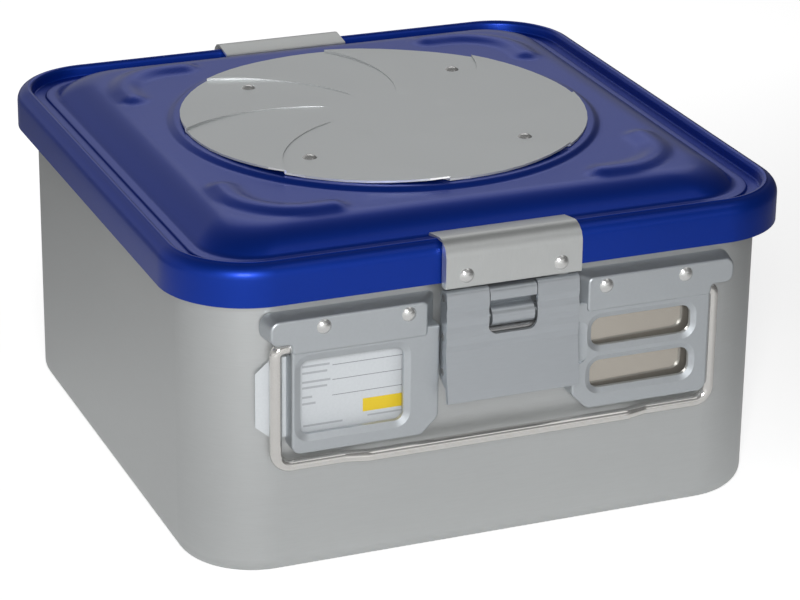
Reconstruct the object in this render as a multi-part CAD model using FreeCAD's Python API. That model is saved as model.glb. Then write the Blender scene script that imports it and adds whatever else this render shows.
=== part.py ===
import FreeCAD, Part
import math
import os

os.makedirs("parts", exist_ok=True)

V = FreeCAD.Vector
X_AXIS = V(1, 0, 0)
Z_AXIS = V(0, 0, 1)
ORIGIN = V(0, 0, 0)

# Sterilization container, half size: a square drawn tub, a lid with a vent disc,
# and the same latch, two holders and wire handle on the front and on the rear.
# Millimetres, +Z up, the base rests on z = 0 and the front faces -Y.

# Tub
TUB_HALF = 140.1
TUB_CORNER = 35.8
TUB_WALL = 2.0
TUB_BASE_RADIUS = 7.3
TUB_RIM_Z = 143.0
RIM_OVERHANG = 5.0
RIM_DEPTH = 4.0
RIM_ROUND = 1.9

# Lid
LID_SHEET = 1.5
RIM_TO_SKIRT = 2.1
LID_CORNER = 40.4
SKIRT_DEPTH = 19.1
LID_EDGE_RADIUS = 6.5
LID_RIM_WIDTH = 7.7
GROOVE_WIDTH = 13.0
GROOVE_DEPTH = 4.7
DOME_RISE = 10.0
DOME_SLOPE_RUN = 15.0
DOME_CORNER = 35.0
DOME_BLEND = 8.0
PLATEAU_RADIUS = 102.0
PLATEAU_RISE = 1.2

# Gasket between the rim and the lid
GASKET_HEIGHT = 2.4
GASKET_WIDTH = 8.0
SEAT_GAP = 0.1

# Raised corner arcs on the lid
ARC_CENTRE = 75.0
ARC_RADIUS = 30.0
ARC_TAIL = 7.5
ARC_SECTION = 9.0
ARC_SINK = 6.6

# Vent disc, its rivets and spacers
DISC_RADIUS = 97.0
DISC_SHEET = 1.0
DISC_SPACER = 0.8
SPACER_RADIUS = 5.0
VANE_COUNT = 8
VANE_RISE = 1.4
VANE_SWEEP = 24.5
VANE_STEP_ANGLE = -2.0
VANE_ARC_RADIUS = 75.0
VANE_ARC_OFFSET = 74.5
VANE_ARC_LEAD = 48.0
VANE_INNER_RADIUS = 28.0
VANE_FULL_RADIUS = 55.0
DISC_RIVET_CIRCLE = 74.0
DISC_RIVET_ANGLE = 41.0

# Vent holes, filter and its retainer
VENT_HOLE_RADIUS = 4.0
VENT_PITCH = 24.0
VENT_FIELD_RADIUS = 76.0
FILTER_RADIUS = 92.0
FILTER_SHEET = 0.6
RETAINER_SHEET = 1.2
RETAINER_LIP = 3.0
STUD_RADIUS = 4.0
STUD_HEAD_RADIUS = 7.0
STUD_HEAD = 2.0
KNOB_RADIUS = 13.0
KNOB_HEIGHT = 5.0
RUNNING_GAP = 0.05
FIXED_GAP = 0.02

# Rivets with domed heads
RIVET_HEAD_RADIUS = 3.4
RIVET_HEAD = 1.5
RIVET_SHANK = 2.0
RIVET_TAIL = 0.5

# Clamp bracket over the lid's rim
BRACKET_HALF = 32.5
BRACKET_SHEET = 3.0
BRACKET_STAND_OFF = 2.8
BRACKET_DROP = 1.2
BRACKET_BEND = 5.0
BRACKET_FOOT_BEND = 7.0
BRACKET_RISE = 2.9
BRACKET_CLEARANCE = 0.3
BRACKET_HEEL = 4.0
BRACKET_FOOT_INSET = 6.5
BRACKET_RIVET_X = 22.6
BRACKET_RIVET_UP = 5.6

# Holders: formed pans riveted to the tub's wall
HOLDER_SHEET = 1.8
HOLDER_DEPTH = 8.8
BAND_PROUD = 0.8
HOLDER_ROUND = 1.2
HOLDER_CORNER = 4.5
HOLDER_LATCH_GAP = 0.6
HOLDER_EDGE = 2.8
TAG_HOLDER_SHORTER = 1.0
HOLDER_TAB_REACH = 9.8
HOLDER_TOP_Z = 125.2
HOLDER_TAB_Z = 113.8
HOLDER_BAND_Z = 108.8
HOLDER_BOTTOM_Z = 61.2
HOLDER_BEVEL = 8.0
TAB_CORNER = 4.0
BAND_INNER_DRAFT = 6.6
BAND_TAB_DRAFT = 2.1
BAND_TOP_DRAFT = 1.2
SCALLOP_Z = (84.0, 104.5)
SCALLOP_RUN = 7.0
SCALLOP_ANGLE = 30.0
SCALLOP_CORNER = 4.0
HOLDER_RIVET_X = (47.5, 87.0)
HOLDER_RIVET_Z = 120.6
WALL_GAP = 0.1

# Openings in the holders
WINDOW_X = (49.0, 97.5)
WINDOW_Z = (70.0, 105.0)
WINDOW_CORNER = 4.0
SLOT_X = (41.5, 91.3)
SLOT_HEIGHT = 13.6
SLOT_Z = (70.6, 91.2)
SLOT_CORNER = 4.8
RIM_PRESS = 1.1
WINDOW_RIM = 3.0
SLOT_RIM = 2.6
INSERT_SHEET = 1.0
INSERT_MARGIN = 2.6
INSERT_SET_BACK = 1.6
INSERT_TILT = 1.6
INSERT_BEVEL = 5.0

# Label card
CARD_SHEET = 0.3
CARD_REACH = 14.2
CARD_Z = (67.2, 105.2)
CARD_BEVEL = 7.5
CARD_BEVEL_RISE = 6.4
CARD_CLEARANCE = 0.6
CARD_END_ROOM = 4.0

# Wire handle
WIRE_RADIUS = 2.8
WIRE_SET_OUT = 4.3
HANDLE_LEG_OUT = 4.1
HANDLE_SHIFT = 2.0
HANDLE_STUB = 15.0
HANDLE_PIVOT_Z = 110.7
HANDLE_BOTTOM_Z = 54.8
HANDLE_BEND = 7.0
HANDLE_TOP_BEND = 3.6
HANDLE_JOG_X = (73.0, 63.0)
HANDLE_JOG = 2.6
HANDLE_HOLE_GAP = 0.25

# Latch flap, hinged near its top on the latch base
FLAP_HALF = 31.8
FLAP_SHEET = 1.8
HINGE_OUT = 10.1
HINGE_DROP = 5.4
KNUCKLE_RADIUS = 4.6
CHEEK_SHEET = 2.2
CHEEK_BACK = 7.2
FLAP_BOTTOM_DROP = 48.0
FLAP_FLARE = 3.0
FLAP_KNEE_DROP = 30.4
FLAP_RIB = 0.6
LATCH_PIN_RADIUS = 1.75
CROSS_PIN_DROP = (34.8, 18.3)
CROSS_PIN_OUT = 10.3

# Latch link, on its pin in the flap
LINK_HALF = 11.2
LINK_SIDE_GAP = 0.4
LINK_PIN_DROP = 11.0
LINK_PIN_OUT = 10.2
LINK_ROLL_RADIUS = 4.8
LINK_ROLL_HALF = 10.2
LINK_WINDOW_DROP = 2.6
LUG_SHEET = 2.4
LUG_RADIUS = 3.4
LINK_TOP_GAP = 2.2
LINK_BACK = 2.6
LINK_NOSE_HEIGHT = 6.3

# Latch base on the tub's wall
BASE_SHEET = 2.0
EAR_SHEET = 2.6
EAR_TIP = 2.6
EAR_SIDE_GAP = 1.4
BASE_SIDE_MARGIN = 0.3
BASE_BOTTOM_DROP = 38.0
BASE_TOP_DROP = 2.0
BASE_RIVET_X = 16.0
BASE_RIVET_DROP = 29.0
SWING_GAP = 0.4

# Levels and half widths that follow from the sizes above
LID_HALF = TUB_HALF + RIM_OVERHANG + RIM_TO_SKIRT + LID_SHEET
GROOVE_Z = TUB_RIM_Z + SEAT_GAP + GASKET_HEIGHT + LID_SHEET
LID_RIM_Z = GROOVE_Z + GROOVE_DEPTH
SKIRT_Z = LID_RIM_Z - SKIRT_DEPTH
GROOVE_HALF = LID_HALF - LID_RIM_WIDTH
DOME_FOOT_HALF = GROOVE_HALF - GROOVE_WIDTH
DOME_Z = GROOVE_Z + DOME_RISE
PLATEAU_Z = DOME_Z + PLATEAU_RISE
DISC_Z = PLATEAU_Z + DISC_SPACER + DISC_SHEET
BRACKET_Z = SKIRT_Z - BRACKET_DROP
BRACKET_FACE = LID_HALF + BRACKET_STAND_OFF + BRACKET_SHEET
BRACKET_TOP_Z = LID_RIM_Z + BRACKET_RISE
CEILING_Z = PLATEAU_Z - LID_SHEET
LABEL_OUTER_X = TUB_HALF - TUB_CORNER - HOLDER_EDGE
TAG_OUTER_X = LABEL_OUTER_X - TAG_HOLDER_SHORTER
HOLDER_TAB_X = LABEL_OUTER_X + HOLDER_TAB_REACH
CARD_OUTER_X = LABEL_OUTER_X + CARD_REACH
HANDLE_LEG_X = LABEL_OUTER_X + HANDLE_LEG_OUT
FILTER_ROOM = max(RIVET_TAIL + SWING_GAP, FILTER_SHEET + 2 * SEAT_GAP)
RETAINER_Z = CEILING_Z - FILTER_ROOM - RETAINER_SHEET
FILTER_Z = CEILING_Z - FILTER_ROOM + SEAT_GAP
FACE_OUT = HOLDER_DEPTH + BAND_PROUD
LINK_TOP_Z = BRACKET_Z - LINK_TOP_GAP
BASE_HALF = FLAP_HALF - CHEEK_SHEET - EAR_SIDE_GAP + BASE_SIDE_MARGIN
HOLDER_INNER_X = FLAP_HALF + HOLDER_LATCH_GAP
HINGE_Z = BRACKET_Z - HINGE_DROP
FLAP_BOTTOM_Z = HINGE_Z - FLAP_BOTTOM_DROP
FLAP_KNEE_Z = HINGE_Z - FLAP_KNEE_DROP
CROSS_PIN_Z = tuple(HINGE_Z - drop for drop in CROSS_PIN_DROP)
LINK_PIN_Z = HINGE_Z - LINK_PIN_DROP
BASE_BOTTOM_Z = HINGE_Z - BASE_BOTTOM_DROP
BASE_TOP_Z = HINGE_Z - BASE_TOP_DROP
BASE_RIVET_Z = HINGE_Z - BASE_RIVET_DROP


def unit(vector):
    """The vector at length one."""
    return vector * (1.0 / vector.Length)


def rounded_wire(corners, place):
    """Closed wire through corners (a, b, radius), each one rounded by its radius."""
    flat = [V(a, b, 0) for a, b, radius in corners]
    count = len(corners)
    starts, mids, ends = [], [], []
    for i in range(count):
        here = flat[i]
        radius = corners[i][2]
        back = unit(flat[i - 1] - here)
        ahead = unit(flat[(i + 1) % count] - here)
        half = back.getAngle(ahead) / 2
        bisector = unit(back + ahead)
        reach = radius / math.tan(half)
        centre = here + bisector * (radius / math.sin(half))
        starts.append(here + back * reach)
        mids.append(centre - bisector * radius)
        ends.append(here + ahead * reach)
    edges = []
    for i in range(count):
        if corners[i][2] > 0:
            arc = [place(p.x, p.y) for p in (starts[i], mids[i], ends[i])]
            edges.append(Part.Arc(*arc).toShape())
        follow = (i + 1) % count
        run = (starts[follow] - ends[i]).Length
        if run > 1e-6:
            line = [place(p.x, p.y) for p in (ends[i], starts[follow])]
            edges.append(Part.LineSegment(*line).toShape())
    return Part.Wire(edges)


def square_wire(half, radius, z):
    """Rounded square about the centre, lying at height z."""
    corners = [(-half, -half, radius), (half, -half, radius), (half, half, radius), (-half, half, radius)]
    return rounded_wire(corners, lambda a, b: V(a, b, z))


def square_block(half, radius, low, high):
    """Rounded square prism from one height to another."""
    return Part.Face(square_wire(half, radius, low)).extrude(V(0, 0, high - low))


def wall_plate(corners, inner, outer):
    """Plate parallel to the front wall, between two distances out from it."""
    wire = rounded_wire(corners, lambda x, z: V(x, -(TUB_HALF + inner), z))
    return Part.Face(wire).extrude(V(0, inner - outer, 0))


def cross_bar(corners, low_x, high_x):
    """Bar along X whose section is given as (distance out from the front wall, z, radius)."""
    wire = rounded_wire(corners, lambda out, z: V(low_x, -(TUB_HALF + out), z))
    return Part.Face(wire).extrude(V(high_x - low_x, 0, 0))


def box(low, high):
    """Box between two opposite corners."""
    size = V(*high) - V(*low)
    return Part.makeBox(size.x, size.y, size.z, V(*low))


def wall_point(x, out, z):
    """Point at a distance out from the front wall."""
    return V(x, -(TUB_HALF + out), z)


def round_edges(shape, radius, wanted):
    """Fillet on each edge whose bounding box passes the test."""
    edges = [edge for edge in shape.Edges if wanted(edge.BoundBox)]
    return shape.makeFillet(radius, edges)


def turned(shape, angle):
    """Copy turned about the vertical axis."""
    copy = shape.copy()
    copy.rotate(ORIGIN, Z_AXIS, angle)
    return copy


def mirrored(shape):
    """Copy mirrored from the right side to the left."""
    return shape.mirror(ORIGIN, X_AXIS)


def dome_head(base, direction, radius, height):
    """Domed rivet head that sits on base and points along direction."""
    sphere_radius = (radius * radius + height * height) / (2 * height)
    centre = base - direction * (sphere_radius - height)
    ball = Part.makeSphere(sphere_radius, centre)
    return ball.common(Part.makeCylinder(radius * 1.01, height * 1.01, base, direction))


def rivet(base, direction, grip):
    """Rivet with a domed head, a shank of the given grip and a flat tail."""
    head = dome_head(base, direction, RIVET_HEAD_RADIUS, RIVET_HEAD)
    shank = Part.makeCylinder(RIVET_SHANK, grip + RIVET_TAIL, base, direction * -1)
    tail_start = base - direction * grip
    tail = Part.makeCylinder(RIVET_SHANK * 1.5, RIVET_TAIL, tail_start, direction * -1)
    return head.fuse([shank, tail]).removeSplitter()


def rivet_hole(base, direction, grip):
    """Hole that a rivet's shank passes through."""
    start = base + direction
    return Part.makeCylinder(RIVET_SHANK + FIXED_GAP, grip + 2, start, direction * -1)


def group(solids):
    """Separate solids that share one node."""
    return Part.makeCompound(solids)


# Tub

def holder_rivet_bases():
    """Seats of the holders' rivets on both holders."""
    bases = []
    for side in (-1, 1):
        for x in HOLDER_RIVET_X:
            bases.append(wall_point(side * x, FACE_OUT, HOLDER_RIVET_Z))
    return bases


def base_rivet_bases():
    """Seats of the rivets that hold the latch base."""
    seats = []
    for side in (-1, 1):
        seats.append(wall_point(side * BASE_RIVET_X, WALL_GAP + BASE_SHEET, BASE_RIVET_Z))
    return seats


def front_rivet_holes():
    """Rivet holes through the tub's front wall."""
    holes = [rivet_hole(base, V(0, -1, 0), FACE_OUT + TUB_WALL) for base in holder_rivet_bases()]
    grip = WALL_GAP + BASE_SHEET + TUB_WALL
    holes += [rivet_hole(base, V(0, -1, 0), grip) for base in base_rivet_bases()]
    return holes


def tub_shell():
    """Deep-drawn tub with a rounded base edge and a rolled rim."""
    outer = square_block(TUB_HALF, TUB_CORNER, 0, TUB_RIM_Z)
    outer = round_edges(outer, TUB_BASE_RADIUS, lambda b: b.ZMax < 0.01)
    rim_half = TUB_HALF + RIM_OVERHANG
    rim = square_block(rim_half, TUB_CORNER + RIM_OVERHANG, TUB_RIM_Z - RIM_DEPTH, TUB_RIM_Z)
    at_outside = lambda b: b.ZLength < 0.01
    rim = round_edges(rim, RIM_ROUND, at_outside)
    inner = square_block(TUB_HALF - TUB_WALL, TUB_CORNER - TUB_WALL, TUB_WALL, TUB_RIM_Z + 1)
    inner = round_edges(inner, TUB_BASE_RADIUS - TUB_WALL, lambda b: b.ZMax < TUB_WALL + 0.01)
    holes = []
    for hole in front_rivet_holes():
        holes += [hole, turned(hole, 180)]
    return outer.fuse(rim).cut([inner] + holes).removeSplitter()


# Lid

def dome_mass(inset):
    """Solid dome of the lid with its round plateau, shrunk by the inset."""
    foot_half = DOME_FOOT_HALF - inset
    foot_z = GROOVE_Z - inset
    top_z = DOME_Z - inset
    slope = DOME_SLOPE_RUN / DOME_RISE
    sink = 1.0
    low = square_wire(foot_half + slope * sink, DOME_CORNER + slope * sink, foot_z - sink)
    high = square_wire(foot_half - DOME_SLOPE_RUN, DOME_CORNER - DOME_SLOPE_RUN, top_z)
    dome = Part.makeLoft([low, high], True, True)
    dome = round_edges(dome, DOME_BLEND - inset, lambda b: b.ZMin > top_z - 0.01)
    plateau_radius = PLATEAU_RADIUS - inset
    top_radius = plateau_radius - PLATEAU_RISE
    plateau = Part.makeCone(plateau_radius + sink, top_radius, PLATEAU_RISE + sink, V(0, 0, top_z - sink))
    return dome.fuse(plateau)


def corner_arc(section_radius):
    """Tube along one corner arc: a short straight, a quarter turn and a short straight."""
    z = DOME_Z - ARC_SINK
    reach = ARC_CENTRE + ARC_RADIUS
    start = V(ARC_CENTRE - ARC_TAIL, reach, z)
    bend_in = V(ARC_CENTRE, reach, z)
    middle = V(ARC_CENTRE + ARC_RADIUS * math.sqrt(0.5), ARC_CENTRE + ARC_RADIUS * math.sqrt(0.5), z)
    bend_out = V(reach, ARC_CENTRE, z)
    end = V(reach, ARC_CENTRE - ARC_TAIL, z)
    path = Part.Wire([
        Part.LineSegment(start, bend_in).toShape(),
        Part.Arc(bend_in, middle, bend_out).toShape(),
        Part.LineSegment(bend_out, end).toShape(),
    ])
    ring = Part.Wire(Part.makeCircle(section_radius, start, X_AXIS))
    tube = path.makePipeShell([ring], True, False)
    caps = [Part.makeSphere(section_radius, point) for point in (start, end)]
    return tube.fuse(caps)


def lid_mass(inset):
    """The lid as a full block, shrunk by the inset, with its groove and raised forms."""
    low = SKIRT_Z if inset == 0 else SKIRT_Z - 5
    block = square_block(LID_HALF - inset, LID_CORNER - inset, low, LID_RIM_Z - inset)
    block = round_edges(block, LID_EDGE_RADIUS - inset, lambda b: b.ZMin > LID_RIM_Z - inset - 0.01)
    groove_corner = LID_CORNER - LID_RIM_WIDTH + inset
    groove = square_block(GROOVE_HALF + inset, groove_corner, GROOVE_Z - inset, LID_RIM_Z + 1)
    mass = block.cut(groove).fuse(dome_mass(inset))
    arcs = [turned(corner_arc(ARC_SECTION - inset), quarter * 90) for quarter in range(4)]
    return mass.fuse(arcs)


def vent_points():
    """Centres of the vent holes, on a triangular grid with the centre left free."""
    rows = int(VENT_FIELD_RADIUS / VENT_PITCH) + 1
    points = []
    for row in range(-rows, rows + 1):
        for column in range(-2 * rows, 2 * rows + 1):
            x = (column + 0.5 * (row % 2)) * VENT_PITCH
            y = row * VENT_PITCH * math.sqrt(0.75)
            if VENT_PITCH / 2 < math.hypot(x, y) < VENT_FIELD_RADIUS:
                points.append((x, y))
    return points


def vent_holes(low, high):
    """Vent holes from one height to another."""
    return [Part.makeCylinder(VENT_HOLE_RADIUS, high - low, V(x, y, low)) for x, y in vent_points()]


def disc_rivet_points(z):
    """Centres of the vent disc's rivets at height z."""
    points = []
    for i in range(4):
        angle = math.radians(DISC_RIVET_ANGLE + 90 * i)
        points.append(V(DISC_RIVET_CIRCLE * math.cos(angle), DISC_RIVET_CIRCLE * math.sin(angle), z))
    return points


def bracket_rivet_bases():
    """Seats of the rivets on the front bracket."""
    z = BRACKET_Z + BRACKET_RIVET_UP
    return [V(side * BRACKET_RIVET_X, -BRACKET_FACE, z) for side in (-1, 1)]


def bracket_grip():
    """Thickness that a bracket rivet holds together."""
    return BRACKET_SHEET + BRACKET_STAND_OFF + LID_SHEET


def lid_shell():
    """Pressed lid sheet with its vent holes and rivet holes."""
    shell = lid_mass(0).cut(lid_mass(LID_SHEET))
    cuts = vent_holes(CEILING_Z - 2, PLATEAU_Z + 2)
    for point in disc_rivet_points(DISC_Z):
        cuts.append(rivet_hole(point, Z_AXIS, DISC_SHEET + DISC_SPACER + LID_SHEET))
    for base in bracket_rivet_bases():
        hole = rivet_hole(base, V(0, -1, 0), bracket_grip())
        cuts += [hole, turned(hole, 180)]
    cuts.append(Part.makeCylinder(STUD_RADIUS + FIXED_GAP, LID_SHEET + 2, V(0, 0, CEILING_Z - 1)))
    return shell.cut(cuts)


def lid_gasket():
    """Square ring under the groove's floor, which seats on the tub's rim."""
    top_z = GROOVE_Z - LID_SHEET
    outer = square_block(GROOVE_HALF, LID_CORNER - LID_RIM_WIDTH, top_z - GASKET_HEIGHT, top_z)
    inner_half = GROOVE_HALF - GASKET_WIDTH
    inner_corner = LID_CORNER - LID_RIM_WIDTH - GASKET_WIDTH
    inner = square_block(inner_half, inner_corner, TUB_RIM_Z - 1, GROOVE_Z)
    return outer.cut(inner)


# Vent disc

def step_angle(radius):
    """Angle of a vane's step behind its end on the disc's edge, in degrees."""
    swing = (radius ** 2 + VANE_ARC_OFFSET ** 2 - VANE_ARC_RADIUS ** 2) / (2 * radius * VANE_ARC_OFFSET)
    return VANE_ARC_LEAD - math.degrees(math.acos(swing))


def vane_rise(radius):
    """Height of a vane's step, which fades in towards the disc's middle."""
    share = (radius - VANE_INNER_RADIUS) / (VANE_FULL_RADIUS - VANE_INNER_RADIUS)
    share = min(max(share, 0.04), 1.0)
    return VANE_RISE * math.sin(share * math.pi / 2)


def vane_section(radius):
    """Triangle across a vane: flat at one side, a full step at the other."""
    step = math.radians(step_angle(radius))
    gentle = step - math.radians(VANE_SWEEP)
    foot = DISC_Z - DISC_SHEET / 2
    toe = V(radius * math.cos(gentle), radius * math.sin(gentle), DISC_Z - 0.05)
    heel = V(radius * math.cos(step), radius * math.sin(step), foot)
    crest = V(heel.x, heel.y, DISC_Z + vane_rise(radius))
    under = V(toe.x, toe.y, foot)
    return Part.makePolygon([toe, crest, heel, under, toe])


def vent_cover_disc():
    """Round cover with curved turbine vanes pressed up from its sheet."""
    plate = Part.makeCylinder(DISC_RADIUS, DISC_SHEET, V(0, 0, DISC_Z - DISC_SHEET))
    span = DISC_RADIUS + 4 - VANE_INNER_RADIUS
    radii = [VANE_INNER_RADIUS + span * i / 6 for i in range(7)]
    vane = Part.makeLoft([vane_section(radius) for radius in radii], True, False)
    vane = vane.common(Part.makeCylinder(DISC_RADIUS, 10, V(0, 0, DISC_Z - DISC_SHEET)))
    vanes = [turned(vane, VANE_STEP_ANGLE + i * 360 / VANE_COUNT) for i in range(VANE_COUNT)]
    holes = [rivet_hole(p, Z_AXIS, DISC_SHEET + 1) for p in disc_rivet_points(DISC_Z)]
    return plate.fuse(vanes).cut(holes)


def vent_cover_rivets():
    """Rivets that hold the vent disc on the lid."""
    grip = DISC_SHEET + DISC_SPACER + LID_SHEET
    return group([rivet(p, Z_AXIS, grip) for p in disc_rivet_points(DISC_Z)])


def vent_cover_spacers():
    """Washers that hold the vent disc clear of the plateau, so that steam passes."""
    washers = []
    for point in disc_rivet_points(PLATEAU_Z):
        washer = Part.makeCylinder(SPACER_RADIUS, DISC_SPACER, point)
        bore = Part.makeCylinder(RIVET_SHANK + FIXED_GAP, DISC_SPACER, point)
        washers.append(washer.cut(bore))
    return group(washers)


# Filter

def tail_notches(low, high):
    """Room for the tails of the vent disc's rivets."""
    tails = disc_rivet_points(low)
    return [Part.makeCylinder(RIVET_SHANK * 1.5 + SWING_GAP, high - low, point) for point in tails]


def filter_stud():
    """Stud through the lid's centre, on which the retainer turns."""
    top = PLATEAU_Z + DISC_SPACER / 2
    low = RETAINER_Z - KNOB_HEIGHT - SEAT_GAP
    shank = Part.makeCylinder(STUD_RADIUS, top - low, V(0, 0, low))
    flange = Part.makeCylinder(STUD_HEAD_RADIUS, DISC_SPACER / 2, V(0, 0, PLATEAU_Z))
    head = Part.makeCylinder(STUD_HEAD_RADIUS, STUD_HEAD, V(0, 0, low - STUD_HEAD))
    head = round_edges(head, STUD_HEAD / 2, lambda b: b.ZMax < low - STUD_HEAD + 0.01)
    return shank.fuse([flange, head]).removeSplitter()


def filter_sheet():
    """Round filter sheet under the vent holes."""
    sheet = Part.makeCylinder(FILTER_RADIUS, FILTER_SHEET, V(0, 0, FILTER_Z))
    bore = Part.makeCylinder(STUD_RADIUS + SWING_GAP, 2, V(0, 0, FILTER_Z - 1))
    return sheet.cut([bore] + tail_notches(FILTER_Z - 1, FILTER_Z + 2))


def filter_retainer():
    """Perforated dish with a knob, which holds the filter sheet from below."""
    dish = Part.makeCylinder(FILTER_RADIUS, RETAINER_SHEET, V(0, 0, RETAINER_Z))
    lip_base = V(0, 0, RETAINER_Z - RETAINER_LIP)
    lip = Part.makeCylinder(FILTER_RADIUS, RETAINER_LIP, lip_base)
    lip = lip.cut(Part.makeCylinder(FILTER_RADIUS - RETAINER_SHEET, RETAINER_LIP, lip_base))
    knob = Part.makeCylinder(KNOB_RADIUS, KNOB_HEIGHT, V(0, 0, RETAINER_Z - KNOB_HEIGHT))
    grips = []
    for i in range(8):
        angle = math.radians(45 * i + 22.5)
        place = V(KNOB_RADIUS * math.cos(angle), KNOB_RADIUS * math.sin(angle), RETAINER_Z - KNOB_HEIGHT - 1)
        grips.append(Part.makeCylinder(2.0, KNOB_HEIGHT + 1, place))
    knob = knob.cut(grips)
    bore = Part.makeCylinder(STUD_RADIUS + RUNNING_GAP, 20, V(0, 0, RETAINER_Z - 15))
    cuts = [bore] + vent_holes(RETAINER_Z - 1, RETAINER_Z + 2)
    return dish.fuse([lip, knob]).removeSplitter().cut(cuts)


# Clamp bracket

def clamp_bracket():
    """Extruded bracket: a thick jaw on the skirt, a top over the rim and a foot in the groove."""
    out = BRACKET_FACE - TUB_HALF
    skirt_out = LID_HALF - TUB_HALF
    foot_out = GROOVE_HALF - BRACKET_FOOT_INSET - TUB_HALF
    foot_front = foot_out + BRACKET_SHEET
    under_z = LID_RIM_Z + BRACKET_CLEARANCE
    section = [
        (out, BRACKET_Z, 0.8),
        (out, BRACKET_TOP_Z, BRACKET_BEND),
        (foot_out, BRACKET_TOP_Z, BRACKET_FOOT_BEND),
        (foot_out, GROOVE_Z, 0.3),
        (foot_front, GROOVE_Z, 0.3),
        (foot_front, under_z, 1.0),
        (skirt_out, under_z, 0.0),
        (skirt_out, BRACKET_Z, BRACKET_HEEL),
    ]
    bar = cross_bar(section, -BRACKET_HALF, BRACKET_HALF)
    holes = [rivet_hole(base, V(0, -1, 0), bracket_grip()) for base in bracket_rivet_bases()]
    return bar.cut(holes)


def clamp_rivets():
    """Rivets of one clamp bracket."""
    return group([rivet(base, V(0, -1, 0), bracket_grip()) for base in bracket_rivet_bases()])


# Holders, drawn for the right side of the front wall

def band_wire(outer_x, inset, spread, out):
    """Outline of the raised band at a distance from the wall; spread is the walls' draft, 0 to 1."""
    inner_x = HOLDER_INNER_X + BAND_INNER_DRAFT * (1 - spread) + inset
    tab_x = HOLDER_TAB_X + BAND_TAB_DRAFT * spread - inset
    top_z = HOLDER_TOP_Z + BAND_TOP_DRAFT * spread - inset
    tab_corner = TAB_CORNER + BAND_TOP_DRAFT * spread - inset
    corners = [
        (inner_x, HOLDER_BAND_Z + inset, 2.0),
        (outer_x - inset, HOLDER_BAND_Z + inset, 2.0),
        (outer_x - inset, HOLDER_TAB_Z + inset, 2.0),
        (tab_x, HOLDER_TAB_Z + inset, tab_corner),
        (tab_x, top_z, tab_corner),
        (inner_x, top_z, 2.6),
    ]
    return rounded_wire(corners, lambda x, z: V(x, -(TUB_HALF + out), z))


def band_block(outer_x, inset, out):
    """Drafted block of the raised band with its tab over the handle."""
    wires = [band_wire(outer_x, inset, 1.0, WALL_GAP), band_wire(outer_x, inset, 0.0, out)]
    return Part.makeLoft(wires, True, True)


def lower_outline(outer_x, inset):
    """Outline of a holder's lower part."""
    corner = HOLDER_CORNER - inset
    bevel_shift = inset * math.tan(math.pi / 8)
    high = HOLDER_BAND_Z + HOLDER_CORNER
    return [
        (HOLDER_INNER_X + inset, HOLDER_BOTTOM_Z + HOLDER_BEVEL + bevel_shift, corner),
        (HOLDER_INNER_X + HOLDER_BEVEL + bevel_shift, HOLDER_BOTTOM_Z + inset, corner),
        (outer_x - inset, HOLDER_BOTTOM_Z + inset, corner),
        (outer_x - inset, high - inset, 1.0),
        (HOLDER_INNER_X + inset, high - inset, 1.0),
    ]


def holder_pan(outer_x):
    """Formed pan before its openings are cut: a lower part under a prouder band."""
    at_face = lambda depth: (lambda b: b.YMax < -(TUB_HALF + depth) + 0.01)
    lower = wall_plate(lower_outline(outer_x, 0), WALL_GAP, HOLDER_DEPTH)
    lower = round_edges(lower, HOLDER_ROUND, at_face(HOLDER_DEPTH))
    band = round_edges(band_block(outer_x, 0, FACE_OUT), HOLDER_ROUND, at_face(FACE_OUT))
    hollow_low = wall_plate(lower_outline(outer_x, HOLDER_SHEET), WALL_GAP, HOLDER_DEPTH - HOLDER_SHEET)
    hollow_band = band_block(outer_x, HOLDER_SHEET, FACE_OUT - HOLDER_SHEET)
    pan = lower.fuse(band).cut([hollow_low, hollow_band])
    wire_hole_radius = WIRE_RADIUS + HANDLE_HOLE_GAP
    hole_base = wall_point(HANDLE_LEG_X - HANDLE_STUB - 3, WIRE_SET_OUT, HANDLE_PIVOT_Z)
    wire_hole = Part.makeCylinder(wire_hole_radius, HANDLE_STUB + 10, hole_base, X_AXIS)
    holes = []
    for x in HOLDER_RIVET_X:
        holes.append(rivet_hole(wall_point(x, FACE_OUT, HOLDER_RIVET_Z), V(0, -1, 0), FACE_OUT))
    return pan.cut([wire_hole] + holes)


def scallop(grow):
    """Cutter for the sloped recess at a pan's inner end, which clears the latch's cheek."""
    edge_x = HOLDER_INNER_X + SCALLOP_RUN + grow
    low_z = SCALLOP_Z[0] - grow
    high_z = SCALLOP_Z[1] + grow
    corners = [
        (edge_x - 14, low_z, 0.0),
        (edge_x, low_z, SCALLOP_CORNER),
        (edge_x, high_z, SCALLOP_CORNER),
        (edge_x - 14, high_z, 0.0),
    ]
    cutter = wall_plate(corners, HOLDER_DEPTH - grow * 0.5, HOLDER_DEPTH + 8)
    cutter.rotate(wall_point(edge_x, HOLDER_DEPTH, 0), Z_AXIS, -SCALLOP_ANGLE)
    return cutter


def opening_corners(span_x, span_z, corner, grow):
    """Corners of a rounded opening, grown on all sides."""
    return [
        (span_x[0] - grow, span_z[0] - grow, corner + grow),
        (span_x[1] + grow, span_z[0] - grow, corner + grow),
        (span_x[1] + grow, span_z[1] + grow, corner + grow),
        (span_x[0] - grow, span_z[1] + grow, corner + grow),
    ]


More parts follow.
